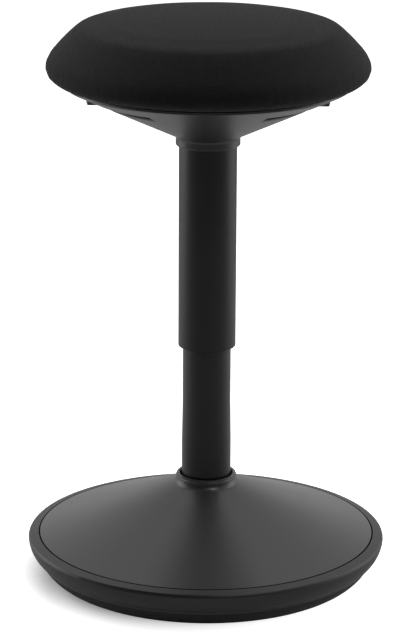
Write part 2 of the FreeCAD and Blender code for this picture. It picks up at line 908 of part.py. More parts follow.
def foam_pad():
    edge = "(pan_disc_radius + lay_gap)"
    inset = "(skin + lay_gap)"
    return turned("foam_pad", [(edge, "plate_top - skin + " + inset)] + cushion_line(inset) + [
        ("0", pan_disc_top),
        (edge, pan_disc_top),
    ])


def seat_cover():
    return turned("seat_cover", [("hem_radius", "plate_top - skin")] + cushion_line("0") +
                  backwards(cushion_line("skin")) + [("hem_radius", "plate_top")])


# Cone of the seat shell: a straight line through its mark

def cone(radius, rise="0"):
    return "(shell_mark_height + shell_slope * ((%s) - shell_mark_radius) + (%s))" % (radius, rise)


def cone_radius(height, rise="0"):
    return "(shell_mark_radius + ((%s) - shell_mark_height - (%s)) / shell_slope)" % (height, rise)


def seat_shell():
    body = turned("seat_shell", [
        ("collar_bore", "collar_foot"),
        ("collar_radius - collar_round", "collar_foot", "collar_round"),
        ("collar_radius", "collar_foot + collar_round"),
        ("collar_radius", cone("collar_radius")),
        ("shell_radius", cone("shell_radius")),
        ("shell_radius", "shell_rim"),
        (cone_radius("shell_rim", "shell_wall"), "shell_rim"),
        (cone_radius("ledge_height + sleeve_flange", "shell_wall"), "ledge_height + sleeve_flange"),
        ("ledge_radius", "ledge_height + sleeve_flange"),
        ("ledge_radius", "ledge_height"),
        ("collar_bore", "ledge_height"),
    ])
    round_off(body, "shell_fillet", [("collar_radius", cone("collar_radius"))])
    roof = "(recess_roof + liner_wall)"
    liner = outline(body, "liner_section", "XZ_Plane", [
        ("recess_inner - liner_wall * 2", cone("recess_inner - liner_wall * 2", "liner_wall / 2")),
        ("recess_outer", cone("recess_outer", "liner_wall / 2")),
        ("recess_outer", roof),
        ("recess_back - liner_wall", roof),
    ])
    repeat(body, [turn(body, liner, "Revolution", "liner_span")], "2")
    recess = outline(body, "recess_section", "XZ_Plane", [
        ("recess_inner", cone("recess_inner"), "recess_back_arc"),
        ("recess_back", "recess_back_height"),
        ("recess_back", "recess_roof"),
        (cone_radius("recess_roof"), "recess_roof"),
        ("recess_outer", "recess_roof"),
        ("recess_outer", cone("recess_inner")),
    ])
    repeat(body, [turn(body, recess, "Groove", "recess_span")], "2")
    window = outline(body, "window", "XY_Plane", [
        ("window_inner", "-window_half"),
        ("window_outer", "-window_half"),
        ("window_outer", "window_half"),
        ("window_inner", "window_half"),
    ], ("0", "0", cone("window_inner - shell_wall")))
    depth = "window_top - " + cone("window_inner - shell_wall")
    repeat(body, [pad(body, window, depth, "Pocket", reverse=True)], "2")
    places = boss_places()
    boss = disc(body, "boss", "boss_radius", "recess_roof", places)
    pad(body, boss, "plate_top - recess_roof")
    sunk = disc(body, "boss_sunk", "shell_screw_head + turn_gap", "recess_roof", places)
    pad(body, sunk, "counterbore", "Pocket", reverse=True)
    hole = disc(body, "boss_hole", "shell_screw_shank + shell_screw_hole_fit", "recess_roof", places)
    pad(body, hole, "plate_top - recess_roof", "Pocket", reverse=True)
    return body


def shell_screws():
    seat = "(recess_roof + counterbore)"
    head = "(recess_roof + counterbore - shell_screw_head_height)"
    tip = "(recess_roof + counterbore + shell_screw_length)"
    return standing("shell_screws", [
        ("0", head + " + shell_screw_head_height / 2"),
        ("shell_screw_shank / 2", head + " + shell_screw_head_height / 2"),
        ("shell_screw_shank / 2", head),
        ("shell_screw_head", head),
        ("shell_screw_head", seat),
        ("shell_screw_shank", seat),
        ("shell_screw_shank", tip + " - shell_screw_shank"),
        ("0", tip),
    ], "boss_circle", "2", ("boss_angle", "-boss_angle"))


def cover_sleeve():
    flange_top = "(ledge_height + sleeve_flange)"
    return turned("cover_sleeve", [
        ("sleeve_radius - sleeve_wall + sleeve_round", "sleeve_foot"),
        ("sleeve_radius - sleeve_round", "sleeve_foot", "sleeve_round"),
        ("sleeve_radius", "sleeve_foot + sleeve_round"),
        ("sleeve_radius", "ledge_height"),
        ("sleeve_flange_radius", "ledge_height"),
        ("sleeve_flange_radius", flange_top),
        ("sleeve_radius - sleeve_wall", flange_top),
        ("sleeve_radius - sleeve_wall", "sleeve_foot + sleeve_round"),
    ])


def release_pin():
    cap_low = "(lever_low - cap_gap - cap_flange)"
    return turned("release_pin", [
        ("0", lift_top + " - lift_crown / 2"),
        ("valve_radius", lift_top + " - lift_crown / 2"),
        ("valve_radius", cap_low),
        ("0", cap_low),
    ])


def release_cap():
    low = "(lever_low - cap_gap - cap_flange)"
    neck_low = "(lever_low - cap_gap)"
    neck_high = "(lever_low + lever_wall + cap_gap)"
    top = "(lever_low + lever_wall + cap_gap + cap_flange)"
    return turned("release_cap", [
        ("0", low),
        ("cap_radius", low),
        ("cap_radius", neck_low),
        ("cap_neck", neck_low),
        ("cap_neck", neck_high),
        ("cap_radius", neck_high),
        ("cap_radius", top),
        ("0", top),
    ])


def lever(name, side):
    """A release lever: side is 1 for the one towards +X, -1 for the one towards -X."""
    body = new_body(name + "_lever")

    def along(text):
        return "(%d * (%s))" % (side, text)

    plan = outline(body, name + "_lever_plan", "XY_Plane", [
        (along("fork_inner"), "fork_half"),
        (along("fork_outer"), "fork_half"),
        (along("fork_outer"), "-fork_half"),
        (along("fork_inner"), "-fork_half"),
        (along("fork_inner"), "-lever_half"),
        (along("lever_reach"), "-lever_half"),
        (along("lever_reach"), "lever_half"),
        (along("fork_inner"), "lever_half"),
    ], ("0", "0", "lever_low"))
    pad(body, plan, "lever_wall")
    ear = outline(body, name + "_ear", "XZ_Plane", [
        (along("(pivot_offset - ear_half_length)"), "lever_low"),
        (along("(pivot_offset + ear_half_length)"), "lever_low"),
        (along("(pivot_offset + ear_half_length)"), "ear_top"),
        (along("(pivot_offset - ear_half_length)"), "ear_top"),
    ], ("0", "0", "ear_inner"))
    rise = pad(body, ear, "ear_outer - ear_inner")
    reflect(body, [rise], "XZ_Plane")
    hole = disc(body, name + "_pivot_hole", "pivot_radius + running_fit", "0",
                ((along("pivot_offset"), "pivot_height"),), "XZ_Plane")
    pad(body, hole, "lever_reach", "Pocket", middle=True)
    return body


def paddle(name, side):
    body = new_body(name + "_paddle")

    def along(text):
        return "(%d * (%s))" % (side, text)

    tip = "sqrt(paddle_outer ^ 2 - paddle_half ^ 2)"
    plan = outline(body, name + "_paddle_plan", "XY_Plane", [
        (along("paddle_inner"), "-paddle_half"),
        (along(tip), "-paddle_half", along("paddle_outer")),
        (along(tip), "paddle_half"),
        (along("paddle_inner"), "paddle_half"),
    ], ("0", "0", "paddle_low"))
    pad(body, plan, "paddle_wall")
    slot = outline(body, name + "_paddle_slot", "XY_Plane", [
        (along("(paddle_inner - 1)"), "-lever_half - paddle_slot_gap"),
        (along("(lever_reach + paddle_slot_gap)"), "-lever_half - paddle_slot_gap"),
        (along("(lever_reach + paddle_slot_gap)"), "lever_half + paddle_slot_gap"),
        (along("(paddle_inner - 1)"), "lever_half + paddle_slot_gap"),
    ], ("0", "0", "lever_low - paddle_slot_gap"))
    pad(body, slot, "lever_wall + paddle_slot_gap * 2", "Pocket", reverse=True)
    return body


pieces = [
    rocker_sole(), base_pan(), rim_bumper(), base_weight(), base_cover(), base_screws(),
    column_tube(), guide_bush(), bearing_lower_washer(),
    bearing_cage(), bearing_balls(),
    piston_rod(), bearing_upper_washer(), buffer_ring(), rod_washer(), rod_clip(),
    lift_cylinder(), rod_guide(), taper_socket(), lever_bracket(), mounting_plate(),
    mounting_bolts(), t_nuts(), pivot_pins(), seat_pan(), foam_pad(), seat_cover(),
    seat_shell(), shell_screws(), cover_sleeve(),
    lever("left", -1), paddle("left", -1), lever("right", 1), paddle("right", 1),
    release_pin(), release_cap(),
]
doc.recompute()

for thing in doc.Objects:
    if "Invalid" in thing.State or "Error" in thing.State:
        raise RuntimeError("%s failed: %s" % (thing.Name, thing.State))
for piece in pieces:
    if piece.Shape.isNull() or not piece.Shape.isValid():
        raise RuntimeError(piece.Label + " has no valid shape")

os.makedirs("parts", exist_ok=True)
for piece in pieces:
    piece.Shape.exportStep("parts/%s.step" % piece.Label)
    box = piece.Shape.BoundBox
    print("%-22s solids %2d volume %9.0f  x %7.1f %7.1f  z %6.1f %6.1f" % (
        piece.Label, len(piece.Shape.Solids), piece.Shape.Volume,
        box.XMin, box.XMax, box.ZMin, box.ZMax))
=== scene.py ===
import math
import bpy
import bmesh
from mathutils import Euler, Matrix, Vector


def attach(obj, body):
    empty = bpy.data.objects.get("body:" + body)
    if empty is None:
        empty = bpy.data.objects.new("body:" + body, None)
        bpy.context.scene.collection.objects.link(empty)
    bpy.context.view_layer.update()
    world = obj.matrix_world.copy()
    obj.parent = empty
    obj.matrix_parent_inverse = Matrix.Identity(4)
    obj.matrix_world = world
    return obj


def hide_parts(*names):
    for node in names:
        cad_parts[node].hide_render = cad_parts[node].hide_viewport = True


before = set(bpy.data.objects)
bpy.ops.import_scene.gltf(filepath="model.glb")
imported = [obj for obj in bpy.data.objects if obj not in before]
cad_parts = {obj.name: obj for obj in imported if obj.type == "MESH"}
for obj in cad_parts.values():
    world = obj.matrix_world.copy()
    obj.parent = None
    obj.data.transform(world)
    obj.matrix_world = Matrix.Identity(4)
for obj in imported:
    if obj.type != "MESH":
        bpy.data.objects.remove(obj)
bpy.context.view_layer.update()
mm = 0.001
scene = bpy.context.scene
print("frame loaded")


# Camera, three metres in front of the stool and looking down on it a little
cameraSetup = {
    "distance": 3.0,
    "height": 1.1696,
    "pitchDown": 16.52,
    "focalPixels": 3104.85,
    "imageSize": (400, 642),
    "axisPixels": 7.3,      # the stool's axis lies this far right of the middle
    "roll": 0.30,
    "sensor": 36.0,
}


def makeCamera(setup):
    data = bpy.data.cameras.new("camera")
    data.sensor_fit = "AUTO"
    data.sensor_width = setup["sensor"]
    data.lens = setup["focalPixels"] / max(setup["imageSize"]) * setup["sensor"]
    camera = bpy.data.objects.new("camera", data)
    bpy.context.collection.objects.link(camera)
    yaw = math.atan(setup["axisPixels"] / setup["focalPixels"])
    look = Euler((math.radians(90 - setup["pitchDown"]), 0, yaw)).to_matrix()
    turn = Matrix.Rotation(math.radians(setup["roll"]), 3, "Z")
    place = Matrix.Translation((0, -setup["distance"], setup["height"]))
    camera.matrix_world = place @ (look @ turn).to_4x4()
    scene.camera = camera


makeCamera(cameraSetup)


# A node socket with the usual operators, for shaders and Geometry Nodes alike
class Wire:
    def __init__(self, tree, socket=None):
        self.tree = tree
        self.socket = socket

    def make(self, kind, settings=None, inputs=None, output=0):
        node = self.tree.nodes.new(kind)
        for name, setting in (settings or {}).items():
            setattr(node, name, setting)
        for name, given in (inputs or {}).items():
            if isinstance(given, Wire):
                self.tree.links.new(given.socket, node.inputs[name])
            else:
                node.inputs[name].default_value = given
        return Wire(self.tree, node.outputs[output]) if len(node.outputs) else node

    def outlet(self, name):
        return Wire(self.tree, self.socket.node.outputs[name])

    def calc(self, operation, *others):
        given = {number: other for number, other in enumerate((self,) + others)}
        return self.make("ShaderNodeMath", {"operation": operation}, given)

    def __add__(self, other):
        return self.calc("ADD", other)

    def __sub__(self, other):
        return self.calc("SUBTRACT", other)

    def __mul__(self, other):
        return self.calc("MULTIPLY", other)


def newMaterial(name):
    material = bpy.data.materials.new(name)
    material.use_nodes = True
    material.node_tree.nodes.clear()
    start = Wire(material.node_tree)
    return material, start, start.make("ShaderNodeTexCoord").outlet("Object")


def noise(start, place, scale, detail=2.0, roughness=0.5):
    return start.make("ShaderNodeTexNoise", {},
                      {"Vector": place, "Scale": scale, "Detail": detail, "Roughness": roughness})


def mixColours(start, low, high, mask):
    return start.make("ShaderNodeMix", {"data_type": "RGBA"}, {0: mask, 6: low, 7: high}, 2)


def bump(start, height, strength, distance):
    return start.make("ShaderNodeBump", {}, {"Height": height, "Strength": strength, "Distance": distance})


# A soft step from first to last while the value goes from low to high
def ramp(start, value, low, high, first, last):
    return start.make("ShaderNodeMapRange", {"interpolation_type": "SMOOTHSTEP"},
                      {"Value": value, "From Min": low, "From Max": high, "To Min": first, "To Max": last})


greyTint = 0.94      # a little less green makes the blacks slightly purple, as in the photo


def grey(level, warm=0.0):
    return (level * (1 + warm), level * greyTint, level * (1 - warm), 1.0)


# Nearly black: the colour of the painted shade in the parting line and in the finger recesses
grooveColour = grey(0.0015)


# The shader and the output. The mask, where there is one, paints shade: it mixes in a nearly black diffuse
# and turns the surface nearly black
def finishMaterial(start, colour, roughness, normal, groove=None, **fixed):
    inputs = {"Base Color": colour, "Roughness": roughness, "Normal": normal}
    inputs.update({name.replace("_", " "): number for name, number in fixed.items()})
    shader = start.make("ShaderNodeBsdfPrincipled", {}, inputs)
    if groove is not None:
        dark = start.make("ShaderNodeBsdfDiffuse", {}, {"Color": grooveColour})
        shader = start.make("ShaderNodeMixShader", {}, {0: groove, 1: shader, 2: dark})
    start.make("ShaderNodeOutputMaterial", {}, {"Surface": shader})


# Where cover and ring meet: a thin line is painted nearly black here as painted shade in the gap
partingLine = {
    "radius": 170.8 * mm,
    "core": 0.45 * mm,
    "edge": 1.0 * mm,
}

# The shell's cone. What lies behind it, up to the far radius, is inside the two finger recesses, and there
# the shell is painted dark as painted shade, more so the deeper it lies
shellCone = {
    "radius": 118.0 * mm,
    "height": 512.4 * mm,
    "slope": 0.4742,
    "shallow": 0.3 * mm,
    "deep": 2.0 * mm,
    "darkness": 0.9,
    "near": 124.0 * mm,
    "far": 128.0 * mm,
}


# Painted shade: a thin nearly black line where cover and ring meet, or darkening that grows with the depth
# behind the shell's cone in the recesses
def grooveMask(start, place, kind):
    flat = start.make("ShaderNodeVectorMath", {"operation": "MULTIPLY"}, {0: place, 1: (1, 1, 0)})
    radius = start.make("ShaderNodeVectorMath", {"operation": "LENGTH"}, {0: flat}).outlet("Value")
    if kind == "parting":
        # The parting line: a painted shadow line, nearly black within the core and fading out by the edge
        gap = (radius - partingLine["radius"]).calc("ABSOLUTE")
        return ramp(start, gap, partingLine["core"], partingLine["edge"], 1.0, 0.0)
    # The recesses: painted shade, darker the deeper a point lies behind the cone, and fading out between the
    # near and far radius
    height = start.make("ShaderNodeSeparateXYZ", {}, {0: place}).outlet("Z")
    cone = (radius - shellCone["radius"]) * shellCone["slope"] + shellCone["height"]
    depth = ramp(start, height - cone, shellCone["shallow"], shellCone["deep"], 0.0, shellCone["darkness"])
    return depth * ramp(start, radius, shellCone["near"], shellCone["far"], 1.0, 0.0)


# Moulded and painted blacks: a fine grain, faint cloudiness and a slightly uneven gloss
blackLook = {
    "warm": 0.0,
    "gloss": 0.5,
    "coat": 0.0,
    "coatRough": 0.20,
    "groove": None,
    "cloudScale": 9.0,
    "cloudDetail": 3.0,
    "cloudShade": 0.1,
    "cloudRough": 0.10,
    "grainRough": 0.08,
    "bump": 0.6,
}
# Cover and ring carry the painted shade of the parting line, and the shell carries that of its finger
# recesses
blacks = {
    "coverBlack": {"shade": 0.016, "rough": 0.42, "grain": 0.5 * mm, "depth": 0.05 * mm,
                   "warm": -0.02, "gloss": 0.42, "coat": 0.10, "groove": "parting"},
    "ringBlack": {"shade": 0.007, "rough": 0.50, "grain": 0.6 * mm, "depth": 0.05 * mm,
                  "gloss": 0.40, "groove": "parting"},
    "columnBlack": {"shade": 0.005, "rough": 0.40, "grain": 0.35 * mm, "depth": 0.02 * mm, "gloss": 0.30},
    "sleeveBlack": {"shade": 0.005, "rough": 0.44, "grain": 0.5 * mm, "depth": 0.03 * mm,
                    "warm": -0.02, "gloss": 0.30},
    "shellBlack": {"shade": 0.010, "rough": 0.44, "grain": 0.5 * mm, "depth": 0.04 * mm,
                   "warm": -0.03, "groove": "recess"},
    "paddleBlack": {"shade": 0.05, "rough": 0.48, "grain": 0.5 * mm, "depth": 0.04 * mm},
    "soleRubber": {"shade": 0.005, "rough": 0.62, "grain": 0.9 * mm, "depth": 0.08 * mm, "gloss": 0.30},
    "innerPlastic": {"shade": 0.030, "rough": 0.55, "grain": 0.8 * mm, "depth": 0.04 * mm},
    "liftBlack": {"shade": 0.012, "rough": 0.30, "grain": 0.4 * mm, "depth": 0.01 * mm},
    "bracketBlack": {"shade": 0.015, "rough": 0.45, "grain": 0.7 * mm, "depth": 0.04 * mm},
    "castIron": {"shade": 0.050, "rough": 0.75, "grain": 2.5 * mm, "depth": 0.25 * mm},
}


def blackMaterial(name, setup):
    material, start, place = newMaterial(name)
    cloud = noise(start, place, setup["cloudScale"], setup["cloudDetail"])
    grain = noise(start, place, 1 / setup["grain"])
    darker = grey(setup["shade"] * (1 - setup["cloudShade"]), setup["warm"])
    lighter = grey(setup["shade"] * (1 + setup["cloudShade"]), setup["warm"])
    roughness = (cloud - 0.5) * setup["cloudRough"] + (grain - 0.5) * setup["grainRough"] + setup["rough"]
    finishMaterial(start, mixColours(start, darker, lighter, cloud), roughness,
                   bump(start, grain, setup["bump"], setup["depth"]),
                   grooveMask(start, place, setup["groove"]) if setup["groove"] else None,
                   Specular_IOR_Level=setup["gloss"], Coat_Weight=setup["coat"],
                   Coat_Roughness=setup["coatRough"])
    return material


# Steels: smeared a little by handling, with a fine surface
steelLook = {
    "smearScale": 60.0,
    "smearDetail": 4.0,
    "fineScale": 900.0,
    "darkPart": 0.85,
    "roughSpread": 0.2,
    "bump": 0.3,
    "depth": 0.02 * mm,
}
steels = {
    "zincSteel": {"shade": 0.62, "rough": 0.38},
    "brightSteel": {"shade": 0.72, "rough": 0.22},
}


def steelMaterial(name, setup):
    material, start, place = newMaterial(name)
    smear = noise(start, place, setup["smearScale"], setup["smearDetail"])
    fine = noise(start, place, setup["fineScale"])
    colour = mixColours(start, grey(setup["shade"] * setup["darkPart"]), grey(setup["shade"]), smear)
    finishMaterial(start, colour, (smear - 0.5) * setup["roughSpread"] + setup["rough"],
                   bump(start, fine, setup["bump"], setup["depth"]), Metallic=1.0)
    return material


# Plywood: its grain runs along X, and the plies show at the edge
plywood = {
    "stretch": (8.0, 90.0, 400.0),
    "scale": 2.0,
    "detail": 5.0,
    "grainRoughness": 0.6,
    "dark": (0.42, 0.27, 0.14, 1),
    "light": (0.62, 0.45, 0.27, 1),
    "rough": 0.6,
    "roughSpread": 0.2,
    "bump": 0.4,
    "depth": 0.1 * mm,
}


def plywoodMaterial(setup):
    material, start, place = newMaterial("plywood")
    spread = start.make("ShaderNodeMapping", {}, {"Vector": place, "Scale": setup["stretch"]})
    grain = noise(start, spread, setup["scale"], setup["detail"], setup["grainRoughness"])
    finishMaterial(start, mixColours(start, setup["dark"], setup["light"], grain),
                   (grain - 0.5) * setup["roughSpread"] + setup["rough"],
                   bump(start, grain, setup["bump"], setup["depth"]))
    return material


materials = {name: blackMaterial(name, dict(blackLook, **setup)) for name, setup in blacks.items()}
for steelName, steelSetup in steels.items():
    materials[steelName] = steelMaterial(steelName, dict(steelLook, **steelSetup))
materials["plywood"] = plywoodMaterial(plywood)

finishes = {
    "coverBlack": ["base_cover"],
    "ringBlack": ["rim_bumper"],
    "columnBlack": ["column_tube"],
    "sleeveBlack": ["cover_sleeve"],
    "shellBlack": ["seat_shell"],
    "paddleBlack": ["left_paddle", "right_paddle"],
    "soleRubber": ["rocker_sole", "buffer_ring"],
    "innerPlastic": ["base_pan", "guide_bush", "bearing_cage", "rod_guide", "release_cap"],
    "liftBlack": ["lift_cylinder"],
    "bracketBlack": ["taper_socket", "lever_bracket", "mounting_plate", "left_lever", "right_lever"],
    "castIron": ["base_weight"],
    "zincSteel": ["base_screws", "bearing_lower_washer", "bearing_upper_washer", "rod_washer", "rod_clip",
                  "mounting_bolts", "t_nuts", "pivot_pins", "shell_screws"],
    "brightSteel": ["bearing_balls", "piston_rod", "release_pin"],
    "plywood": ["seat_pan"],
}
for finish, nodes in finishes.items():
    for node in nodes:
        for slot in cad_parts[node].material_slots:
            slot.material = materials[finish]
print("materials set on the modelled parts")


# Cushion: the fabric pulled over the foam and the edge of the pan
cushion = {
    "radius": 161.7 * mm,
    "wideHeight": 540.3 * mm,
    "top": 591.2 * mm,
    "panRadius": 140.0 * mm,
    "hemHeight": 526.3 * mm,
    "hemRadius": 128.0 * mm,
    "hemStep": 2.0 * mm,
    "tuckHeight": 528.4 * mm,
    "underArc": 24.5 * mm,
    "underSideArc": 10.6 * mm,
    "underTurn": 50.0,
    "sideArc": 22.3 * mm,
    "sideTurn": 39.4,
    "flankArc": 236.0 * mm,
    "flankTurn": 8.0,
    "shoulderArc": 18.8 * mm,
    "crownTurn": 7.0,
    "steps": {"under": 5, "underSide": 5, "side": 6, "flank": 8, "shoulder": 8, "crown": 30},
    "around": 144,
    "shrink": 1.0 * mm,       # the foam starts this much smaller, and swells against the fabric
    "voxel": 5.0 * mm,
    "pressure": 4.0,
    "tension": 40,
    "shear": 20,
    "bending": 8,
    "frames": 20,
    "swell": 1.5 * mm,        # no point moves further than this
    "smoothing": 30,          # rounds that even out the movement, so no wrinkle stays
    "held": 531.0 * mm,       # below this height the fabric is stapled and stays
    "fill": 0.85,
}


def direction(degrees):
    return Vector((math.cos(math.radians(degrees)), math.sin(math.radians(degrees))))


def arcPoints(centre, radius, first, last, count):
    return [centre + direction(first + (last - first) * i / count) * radius for i in range(1, count + 1)]


# The points after the start on the arc that turns left from start to end
def throughArc(start, end, radius, count):
    chord = end - start
    side = Vector((-chord.y, chord.x)).normalized()
    centre = (start + end) / 2 + side * math.sqrt(radius ** 2 - (chord.length / 2) ** 2)
    first = math.degrees(math.atan2(*(start - centre).yx))
    last = math.degrees(math.atan2(*(end - centre).yx))
    if last < first:
        last += 360
    return arcPoints(centre, radius, first, last, count)


# The outer line from the hem to the crown, as (radius, height) points
def cushionLine(shape, inset):
    steps = shape["steps"]
    sideCentre = Vector((shape["radius"] - shape["sideArc"], shape["wideHeight"]))
    underCentre = Vector((shape["radius"] - shape["underSideArc"], shape["wideHeight"]))
    flankEnd = shape["sideTurn"] + shape["flankTurn"]
    crownStart = 90 - shape["crownTurn"]
    flankCentre = sideCentre + direction(shape["sideTurn"]) * (shape["sideArc"] - shape["flankArc"])
    shoulderCentre = flankCentre + direction(flankEnd) * (shape["flankArc"] - shape["shoulderArc"])
    edge = Vector((shape["panRadius"], shape["hemHeight"] + inset))
    underSideArc = shape["underSideArc"] - inset
    under = underCentre + direction(-shape["underTurn"]) * underSideArc
    points = [edge] + throughArc(edge, under, shape["underArc"] - inset, steps["under"])
    points += arcPoints(underCentre, underSideArc, -shape["underTurn"], 0, steps["underSide"])
    points += arcPoints(sideCentre, shape["sideArc"] - inset, 0, shape["sideTurn"], steps["side"])
    points += arcPoints(flankCentre, shape["flankArc"] - inset, shape["sideTurn"], flankEnd, steps["flank"])
    points += arcPoints(shoulderCentre, shape["shoulderArc"] - inset, flankEnd, crownStart, steps["shoulder"])
    last = points[-1]
    top = Vector((0, shape["top"] - inset))
    rise = top.y - last.y
    return points + throughArc(last, top, (last.x ** 2 + rise ** 2) / (2 * rise), steps["crown"])


# A closed mesh turned about Z from a line that starts and ends on the axis
def turnedMesh(name, line, count):
    shape = bmesh.new()
    turns = [2 * math.pi * i / count for i in range(count)]
    rings = []
    for radius, height in line:
        angles = turns if radius > 1e-6 else [0.0]
        rings.append([shape.verts.new((radius * math.cos(a), radius * math.sin(a), height)) for a in angles])
    for below, above in zip(rings, rings[1:]):
        for i in range(count):
            j = (i + 1) % count
            corners = [below[i % len(below)], below[j % len(below)],
                       above[j % len(above)], above[i % len(above)]]
            shape.faces.new(list(dict.fromkeys(corners)))
    bmesh.ops.recalc_face_normals(shape, faces=shape.faces)
    mesh = bpy.data.meshes.new(name)
    shape.to_mesh(mesh)
    shape.free()
    return mesh


def addPiece(name, mesh):
    piece = bpy.data.objects.new(name, mesh)
    bpy.context.collection.objects.link(piece)
    return piece


# The piece's modifiers go into its mesh
def applyModifiers(piece):
    bpy.context.view_layer.update()
    made = bpy.data.meshes.new_from_object(piece.evaluated_get(bpy.context.evaluated_depsgraph_get()))
    piece.modifiers.clear()
    piece.data = made


# Air pressure fills the fabric, which is held where it is stapled under the pan
def swellCushion(piece, shape):
    starts = [corner.co.copy() for corner in piece.data.vertices]
    held = piece.vertex_groups.new(name="stapled")
    held.add([i for i, start in enumerate(starts) if start.z < shape["held"]], 1.0, "REPLACE")
    cloth = piece.modifiers.new("cloth", "CLOTH")
    cloth.settings.vertex_group_mass = "stapled"
    cloth.settings.use_pressure = True
    cloth.settings.uniform_pressure_force = shape["pressure"]
    cloth.settings.effector_weights.gravity = 0
    cloth.settings.tension_stiffness = shape["tension"]
    cloth.settings.compression_stiffness = shape["tension"]
    cloth.settings.shear_stiffness = shape["shear"]
    cloth.settings.bending_stiffness = shape["bending"]
    cloth.point_cache.frame_end = shape["frames"]
    for number in range(1, shape["frames"] + 1):
        scene.frame_set(number)
    applyModifiers(piece)
    scene.frame_set(1)
    corners = piece.data.vertices
    moves = [corner.co - start for corner, start in zip(corners, starts)]
    near = [[] for corner in corners]
    for edge in piece.data.edges:
        first, second = edge.vertices
        near[first].append(second)
        near[second].append(first)
    for turn in range(shape["smoothing"]):
        moves = [sum((moves[i] for i in around), move) / (len(around) + 1)
                 for move, around in zip(moves, near)]
    for corner, start, move in zip(corners, starts, moves):
        corner.co = start + move * min(1.0, shape["swell"] / max(move.length, 1e-9))


def makeCushion(shape):
    hem = [Vector((0, shape["tuckHeight"])),
           Vector((shape["hemRadius"] - shape["hemStep"], shape["tuckHeight"])),
           Vector((shape["hemRadius"], shape["hemHeight"]))]
    line = hem + cushionLine(shape, shape["shrink"])
    piece = addPiece("cushion", turnedMesh("cushion", line, shape["around"]))
    remesh = piece.modifiers.new("evenMesh", "REMESH")
    remesh.mode = "VOXEL"
    remesh.voxel_size = shape["voxel"]
    applyModifiers(piece)
    swellCushion(piece, shape)
    smooth = piece.modifiers.new("smooth", "SUBSURF")
    smooth.levels = 1
    smooth.render_levels = 1
    applyModifiers(piece)
    for face in piece.data.polygons:
        face.use_smooth = True
    return piece


# A flat layout that follows the cloth: the distance from the crown, and the angle about it
def layFabric(piece, shape):
    line = cushionLine(shape, 0)[::-1]
    lengths = [0.0]
    for first, second in zip(line, line[1:]):
        lengths.append(lengths[-1] + (second - first).length)

    def along(spot):
        best = None
        for first, second, length in zip(line, line[1:], lengths):
            step = second - first
            part = min(1.0, max(0.0, (spot - first).dot(step) / step.length_squared))
            gap = (first + step * part - spot).length
            if best is None or gap < best[0]:
                best = (gap, length + step.length * part)
        return best[1]

    places = []
    for corner in piece.data.vertices:
        length = along(Vector((math.hypot(corner.co.x, corner.co.y), corner.co.z)))
        angle = math.atan2(corner.co.y, corner.co.x)
        places.append((length * math.cos(angle), length * math.sin(angle)))
    layout = piece.data.uv_layers.new(name="fabric")
    for loop in piece.data.loops:
        layout.data[loop.index].uv = places[loop.vertex_index]


# Fabric: a fine open weave of black yarn
fabric = {
    "pitch": 1.65 * mm,
    "yarn": (0.0150, 0.0135, 0.0155, 1),
    "gap": (0.0004, 0.0004, 0.0005, 1),
    "crossings": 0.35,
    "ridges": 0.18,
    "middle": 0.45,
    "slubScale": 140.0,
    "slubDetail": 3.0,
    "slub": 0.35,
    "rough": 0.85,
    "yarnRough": -0.08,
    "bump": 1.0,
    "depth": 0.5 * mm,
    "gloss": 0.12,
    "sheen": 0.03,
    "sheenRough": 0.5,
}


def fabricMaterial(setup):
    material, start, place = newMaterial("seatFabric")
    layout = start.make("ShaderNodeSeparateXYZ", {}, {0: start.make("ShaderNodeUVMap", {"uv_map": "fabric"})})
    turn = 2 * math.pi / setup["pitch"]
    warp = (layout.outlet("X") * turn).calc("SINE")
    weft = (layout.outlet("Y") * turn).calc("SINE")
    slub = (noise(start, place, setup["slubScale"], setup["slubDetail"]) - 0.5) * setup["slub"]
    weave = (warp * weft) * setup["crossings"] + (warp + weft) * setup["ridges"] + setup["middle"]
    mask = (weave + slub).calc("MINIMUM", 1.0).calc("MAXIMUM", 0.0)
    finishMaterial(start, mixColours(start, setup["gap"], setup["yarn"], mask),
                   mask * setup["yarnRough"] + setup["rough"],
                   bump(start, mask, setup["bump"], setup["depth"]),
                   Sheen_Weight=setup["sheen"], Sheen_Roughness=setup["sheenRough"],
                   Specular_IOR_Level=setup["gloss"])
    return material


cushionPiece = makeCushion(cushion)
layFabric(cushionPiece, cushion)
cushionPiece.data.materials.clear()
cushionPiece.data.materials.append(fabricMaterial(fabric))
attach(cushionPiece, "seat")
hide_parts("seat_cover", "foam_pad")
print("cushion made", len(cushionPiece.data.polygons))


# Staples that hold the fabric under the pan, hidden by the shell
staples = {
    "Count": 48,
    "Radius": 133.0 * mm,
    "Height": 526.0 * mm,
    "Unevenness": 0.012,
    "Seed": 7,
}
stapleWire = {
    "width": 1.2 * mm,
    "thickness": 0.6 * mm,
    "length": 10.0 * mm,
    "leg": 5.0 * mm,
}
stapleSockets = {"Count": "Int", "Radius": "Float", "Height": "Float", "Unevenness": "Float", "Seed": "Int",
                 "Material": "Material"}


